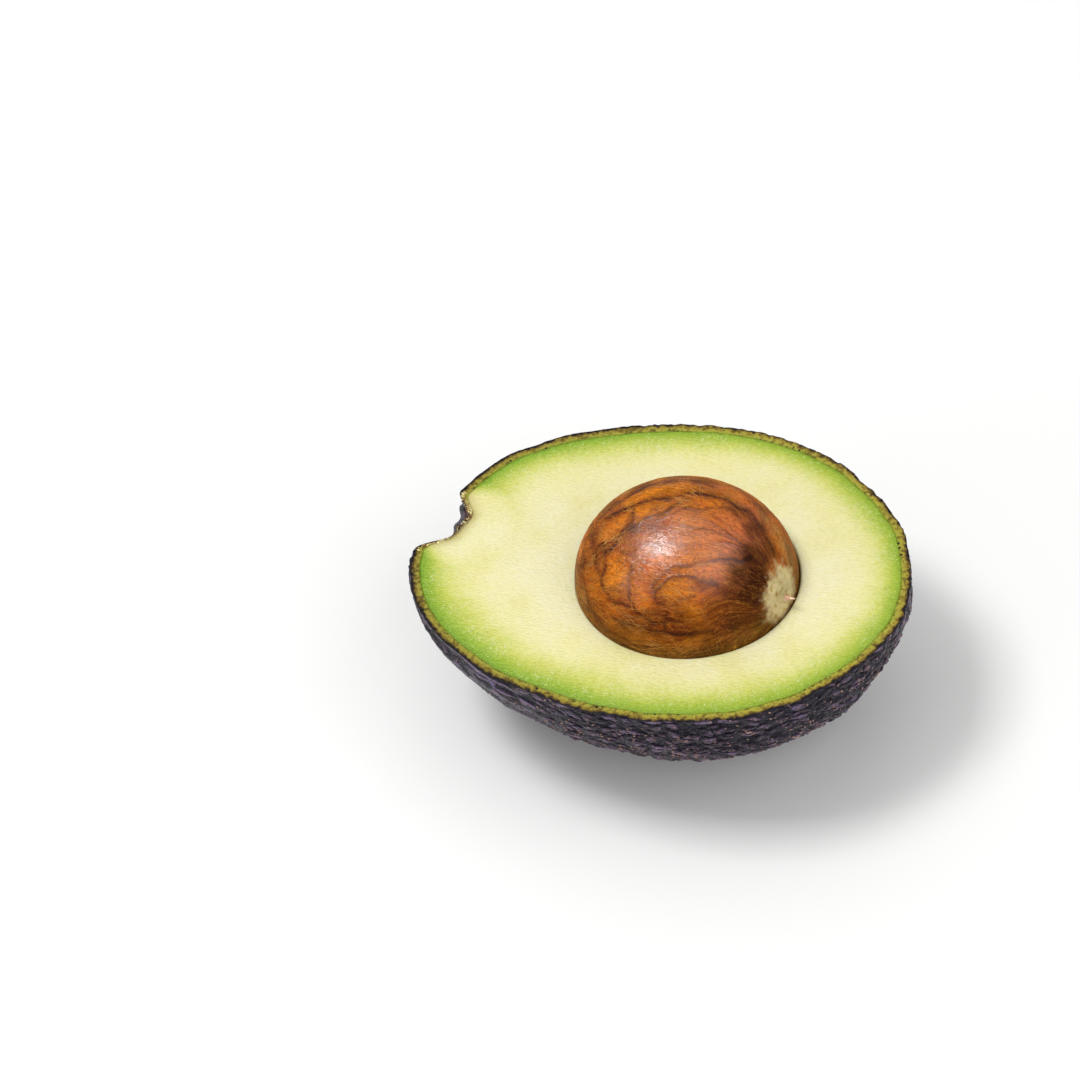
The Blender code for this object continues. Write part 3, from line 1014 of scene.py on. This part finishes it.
def growSeedCoat(add, inputs, coat):
    # raised veins and cells, fine fibres all over, and the scar a little below the coat
    vein, warm, scar, *course = (
        add("GeometryNodeInputNamedAttribute", name)
        for name in ("vein", "warm", "scar", "flowX", "flowY", "flowZ")
    )
    flow = add("CombineXYZ", *course)
    wide = add("Math", mm, inputs["fibreSize"], operation="DIVIDE")
    fibres = add("TexNoise", flow, wide, 2.0, 0.6)
    height = add("Math", fibres, inputs["fibreHeight"], operation="MULTIPLY")
    for mark, size in ((vein, "veinHeight"), (warm, "cellRise"), (scar, "scarDepth")):
        way = "SUBTRACT" if size == "scarDepth" else "ADD"
        part = add("Math", mark, inputs[size], operation="MULTIPLY")
        height = add("Math", height, part, operation=way)
    offset = add("VectorMath", add("GeometryNodeInputNormal"), height, operation="SCALE")
    moved = add("GeometryNodeSetPosition", {"Geometry": inputs["Geometry"], "Offset": offset})
    real = add("GeometryNodeRealizeInstances", moved)
    return add("GeometryNodeSetMaterial", {"Geometry": real, "Material": coat})


def seedCoatMaterial():
    # papery seed coat over a woody pit: satin orange brown, with dark veins, pale fibres, an olive foot and a
    # painted pinkish sheen
    material, add, place = startMaterial("seedCoat")
    marks = {
        name: add("Attribute", attribute_name=name).outputs["Fac"]
        for name in ("vein", "warm", "dark", "paintedSheen", "olive", "tan", "scar", "flowX", "flowY", "flowZ")
    }
    flow = add("CombineXYZ", marks["flowX"], marks["flowY"], marks["flowZ"])
    cloud = add("TexNoise", place, perMetre(6), 3.0)
    browns = {0.3: "#90440A", 0.45: "#C6600C", 0.58: "#E47A10", 0.72: "#F2941A"}
    colour = add("ValToRGB", cloud, stops=browns)
    for name, tint, most in (
        ("warm", "#FF9E0C", 0.9),
        # painted sheen: the pinkish tint of the coat's sheen
        ("paintedSheen", "#E08058", 0.7),
        ("dark", "#3C1C11", 0.97),
        ("olive", "#70561A", 0.9),
        ("tan", "#B0965A", 0.75),
    ):
        share = add("Math", marks[name], most, operation="MULTIPLY")
        colour = add("Mix", share, colour, tint, data_type="RGBA")
    # thin pale strands, both along the coat's course and curling across it
    inMm = add("VectorMath", place, 700.0, operation="SCALE")
    mixedCourse = add("VectorMath", inMm, flow, operation="ADD")
    plainer = add("MapRange", marks["dark"], 0.0, 1.0, 1.0, 0.4)
    hair = 0.0
    for course, scale, width, most in ((flow, 1.0, 0.035, 0.4), (mixedCourse, 0.9, 0.03, 0.6)):
        strands = add("TexNoise", course, scale, 3.0, {"Distortion": 0.4})
        fromHalf = add("Math", strands, 0.5, operation="SUBTRACT")
        beside = add("Math", fromHalf, operation="ABSOLUTE")
        strand = add("MapRange", beside, width, 0.008, 0.0, most, interpolation_type="SMOOTHSTEP")
        strand = add("Math", strand, plainer, operation="MULTIPLY")
        colour = add("Mix", strand, colour, "#E89E44", data_type="RGBA")
        hair = add("Math", hair, strand, operation="ADD")

    # dark veins and bands, then a dark and pale grain over all
    grain = add("TexNoise", mixedCourse, 1.6, 4.0, 0.75, {"Distortion": 1.2})
    bands = add("TexNoise", flow, 0.9, 4.0)
    bandTone = add("ValToRGB", bands, stops={0.32: "#8E6040", 0.5: "#F4E6D6", 0.62: "#FFFFFF"})
    grainTone = add("ValToRGB", grain, stops={0.38: "#4A2A18", 0.47: "#D2B498", 0.53: "#FFFFFF"})
    for share, tone in ((marks["vein"], "#6C4E3C"), (0.5, bandTone), (0.68, grainTone)):
        colour = add("Mix", share, colour, tone, data_type="RGBA", blend_type="MULTIPLY")
    creams = {0.3: "#C49C5C", 0.42: "#E4CE90", 0.55: "#F0E0AC", 0.72: "#ECC498"}
    scarColour = add("ValToRGB", add("TexNoise", place, perMetre(1.0), 4.0), stops=creams)
    rough = add("Math", grain, hair, operation="ADD")

    # tight and polished on top where it faces the eye, fibrous and dull towards the flesh and in the dark
    facing = add("LayerWeight").outputs["Facing"]
    glossy = add("MapRange", facing, 0.12, 0.5, 1.0, 0.08)
    upwards = add("SeparateXYZ", place)
    tight = add("MapRange", upwards.outputs["Z"], 43 * mm, 50 * mm, 0.12, 1.0)
    duller = add("MapRange", marks["dark"], 0.0, 1.0, 1.0, 0.0)
    for share in (tight, duller):
        glossy = add("Math", glossy, share, operation="MULTIPLY")
    return setShader(material, {
        "Base Color": add("Mix", marks["scar"], colour, scarColour, data_type="RGBA"),
        "Normal": add("Bump", {"Strength": 0.8, "Distance": 0.14 * mm, "Height": rough}),
        "Roughness": 0.5,
        "IOR": 1.2,
        "Specular Tint": "#E8A070",
        "Coat Weight": glossy,
        "Coat Normal": add("Bump", {"Strength": 0.27, "Distance": 0.12 * mm, "Height": rough}),
        "Coat Roughness": 0.18,
        "Coat IOR": 1.85,
        "Coat Tint": "#FFF0B8",
    })


pitPiece = buildPitForm()
growPiece(pitPiece, "veinedSeedCoat", seedCoat, growSeedCoat, seedCoatMaterial())
settle(pitPiece, "pit")


# Hairs: thin pale fibres of the seed coat that stand just proud of it

hairs = {"hairRadius": 0.027 * mm, "sides": 3}
hairLook = {
    "count": 1300,
    "points": 14,
    "shortest": 5,
    "fewest": 4,  # points left of a hair that the flesh cuts short
    "step": 0.46,
    "wander": 1.4,
    "wanderSize": 6.0,
    "curl": 0.6,
    "curlChange": 0.15,
    "above": 0.06,
    "clearOfFlesh": 0.3,
    "clearOfScar": 0.3,  # the most of the scar's share that a hair may cross
    "crowdFrom": 0.3,  # towards the scar they would crowd, so more and more are left out
    "crowdTo": 0.85,
    "seed": 21,
}


def hairCourses():  # from a random start along the way round the scar's axis
    look = hairLook
    count, steps = look["count"], look["points"]
    random = np.random.default_rng(look["seed"])
    axis = scarAxis()
    reach = pit["radii"][1]
    here = unit(random.normal(0, 1, (count, 3)))
    here[:, 2] = np.abs(here[:, 2]) + 0.05
    here = unit(here)
    curl = random.normal(0, look["curl"], (count, 3))
    courses = []
    for _ in range(steps):
        courses.append(here)
        curl += random.normal(0, look["curl"] * look["curlChange"], curl.shape)
        ahead = axis + noiseVectors(here * reach, look["wanderSize"], 31) * look["wander"] + curl
        ahead = unit(ahead - (ahead * here).sum(1)[:, None] * here)
        here = unit(here + ahead * look["step"] / reach)
    passed = np.vstack(courses)
    marks = coatMarks(passed)
    coatRise = marks["warm"] * seedCoat["cellRise"] + marks["vein"] * seedCoat["veinHeight"]
    risen = look["above"] + coatRise / mm
    points = pitPoint(passed, risen).reshape(steps, count, 3).transpose(1, 0, 2)
    lengths = random.integers(look["shortest"], steps + 1, count)
    chances = random.uniform(0, 1, count)
    tones = marks["dark"].reshape(steps, count).T
    kept, edges, dark = [], [], []
    for course, tone, length, chance in zip(points, tones, lengths, chances):
        free = course[:length, 2] > fruit["cutHeight"] + look["clearOfFlesh"]
        clear = course[:length][free]
        if len(clear) < look["fewest"] or scarShare(clear).max() > look["clearOfScar"]:
            continue
        alongAxis = (clear - pit["middle"]) @ axis / reach
        if alongAxis[0] < -0.8 or chance < smoothStep(look["crowdFrom"], look["crowdTo"], alongAxis.max()):
            continue
        start = sum(len(part) for part in kept)
        kept.append(clear)
        dark.append(tone[:length][free])
        edges += [(start + i, start + i + 1) for i in range(len(clear) - 1)]
    return np.vstack(kept), edges, np.concatenate(dark)


def growHairs(add, inputs, fibre):
    lines = add("GeometryNodeMeshToCurve", inputs["Geometry"])
    along = add("GeometryNodeSplineParameter").outputs["Factor"]
    arch = add("Math", along, 0.5, operation="PINGPONG")
    taper = add("MapRange", arch, 0.0, 0.3, 0.15, 1.0)
    shaped = add("GeometryNodeSetCurveRadius", {"Curve": lines, "Radius": taper})
    profile = {"Resolution": inputs["sides"], "Radius": inputs["hairRadius"]}
    ring = add("GeometryNodeCurvePrimitiveCircle", profile)
    tubes = add("GeometryNodeCurveToMesh", {"Curve": shaped, "Profile Curve": ring, "Fill Caps": True})
    real = add("GeometryNodeRealizeInstances", add("GeometryNodeSetShadeSmooth", tubes))
    return add("GeometryNodeSetMaterial", {"Geometry": real, "Material": fibre})


def coatFibreMaterial():
    # dry seed coat fibre: dull and pale tan, darker where the coat is dark
    stops = {0.35: "#AC621A", 0.5: "#D08830", 0.68: "#ECB060"}
    material, add, colour = startMottled("coatFibre", 5, 2.0, stops)
    dark = add("Attribute", attribute_name="dark").outputs["Fac"]
    shaded = add("Mix", dark, colour, "#7A4C2A", data_type="RGBA")
    return setShader(material, {"Base Color": shaded, "Roughness": 0.5, "IOR": 1.3})


hairPoints, hairEdges, hairDark = hairCourses()
coatFibres = addMesh("coatFibres", hairPoints, [], {"dark": hairDark}, hairEdges)
growPiece(coatFibres, "seedCoatFibres", hairs, growHairs, coatFibreMaterial())
settle(coatFibres, None)


# Shred: the torn end of the seed coat at the scar

shred = {
    "azimuth": -14.0,
    "elevation": 9.0,
    "length": 3.0,
    "radius": 0.85,
    "flatness": 0.75,
    "taper": 0.75,
    "sunk": 1.0,
    "around": 40,
    "rows": 22,
    "ragged": 0.3,
    "bend": 0.5,
}


def shredMaterial():
    # torn seed coat: thin, moist and pinkish cream
    stops = {0.35: "#C08C60", 0.5: "#E4B898", 0.65: "#F4DCC8"}
    material, _, colour = startMottled("tornCoat", 0.8, 3.0, stops)
    return setShader(material, {
        "Base Color": colour,
        "Roughness": 0.4,
        "Subsurface Weight": 0.2,
        "Subsurface Scale": 0.5 * mm,
    })


def buildShredForm():
    look = shred
    out = fromAngles(look["azimuth"], look["elevation"])
    side = unit(np.array([np.cross(out, (0, 0, 1))]))[0]
    upright = np.cross(side, out)
    foot = pitPoint(out[None, :])[0] - out * look["sunk"]
    turn = np.arange(look["around"]) * 2 * math.pi / look["around"]
    rows = [(foot[None, :], {})]
    for i in range(look["rows"]):
        share = i / look["rows"]
        wide = look["radius"] * (1 - share) ** look["taper"]
        ring = np.outer(np.cos(turn), side) * wide + np.outer(np.sin(turn), upright) * wide * look["flatness"]
        centre = foot + out * look["length"] * share + upright * look["bend"] * share**2
        points = centre + ring
        ragged = look["ragged"] * (noiseAt(points, 0.9) + 0.5 * noiseAt(points, 0.35)) * (0.3 + share)
        rows.append((points + ring * ragged[:, None] + np.outer(ragged, out), {}))
    rows.append(((foot + out * look["length"] + upright * look["bend"])[None, :], {}))
    return addShell("shred", rows)


tornEnd = buildShredForm()
tornEnd.data.materials.append(shredMaterial())
settle(tornEnd, None)


# Floor, light and camera

studio = {
    "floorSize": 6.0,
    "floorDrop": 0.1 * mm,
    "floorColour": "#FAFAF9",
    "worldColour": "#FFFFFF",
    "worldStrength": 0.28,
    "lights": {  # towards, distance and size in m, power in W
        "softbox": ((-0.22, 0.3, 0.93), 1.1, 1.4, 3.9),
        "core": ((-0.37, -0.04, 0.93), 1.0, 0.32, 4.5),
        "fill": ((0.75, -0.3, 0.58), 1.3, 1.5, 8.8),
        "side": ((-0.7, -0.6, 0.34), 1.2, 0.5, 1.8),
    },
}
cameraView = {
    "azimuth": 22.378,  # degrees round from the near side
    "elevation": 49.923,
    "roll": -11.686,
    "distance": 0.8,
    "lens": 145.53,
    "sensor": 36.0,
    "imageSize": 1080,
    "aim": (-3.05, 0.0, 34.0),  # this point of the cut face, in mm,
    "aimPixel": (642.02, 565.29),  # shows at this pixel
}


def buildStudio():
    corners = np.array([(-1, -1, 0), (1, -1, 0), (1, 1, 0), (-1, 1, 0)])
    floor = addMesh("floor", corners * studio["floorSize"] / 2 / mm, [(0, 1, 2, 3)])
    floor.location.z = -studio["floorDrop"]
    pale = {"Base Color": studio["floorColour"], "Roughness": 0.9}
    floor.data.materials.append(setShader(startMaterial("paleFloor")[0], pale))

    world = bpy.data.worlds.new("studio")
    world.use_nodes = True
    background = world.node_tree.nodes["Background"]
    wire(world.node_tree, background, {"Color": studio["worldColour"], "Strength": studio["worldStrength"]})
    bpy.context.scene.world = world

    for name, (direction, distance, size, power) in studio["lights"].items():
        towards = Vector(direction).normalized()
        light = bpy.data.lights.new(name, "AREA")
        light.energy = power
        light.size = size
        lamp = addObject(name, light)
        lamp.location = Vector(middle) * mm + towards * distance
        lamp.rotation_euler = towards.to_track_quat("Z", "Y").to_euler()
    bpy.context.scene.view_settings.view_transform = "Standard"


def aimCamera():
    view = cameraView
    azimuth, elevation, roll = (math.radians(view[name]) for name in ("azimuth", "elevation", "roll"))
    level = Vector((math.cos(azimuth), math.sin(azimuth), 0))
    nearSide = Vector((math.sin(azimuth), -math.cos(azimuth), 0))
    back = nearSide * math.cos(elevation) + Vector((0, 0, math.sin(elevation)))
    upright = back.cross(level)
    right = level * math.cos(roll) + upright * math.sin(roll)
    up = upright * math.cos(roll) - level * math.sin(roll)
    perPixel = view["sensor"] / view["imageSize"] / view["lens"] * view["distance"]
    across = (view["aimPixel"][0] - view["imageSize"] / 2) * perPixel
    above = (view["imageSize"] / 2 - view["aimPixel"][1]) * perPixel
    place = Vector(view["aim"]) * mm + back * view["distance"] - right * across - up * above
    data = bpy.data.cameras.new("camera")
    data.lens = view["lens"]
    data.sensor_width = view["sensor"]
    data.clip_start = 0.01
    camera = addObject("camera", data)
    camera.matrix_world = Matrix.Translation(place) @ Matrix((right, up, back)).transposed().to_4x4()
    bpy.context.scene.camera = camera


buildStudio()
aimCamera()
print("studio: floor, lights and camera")
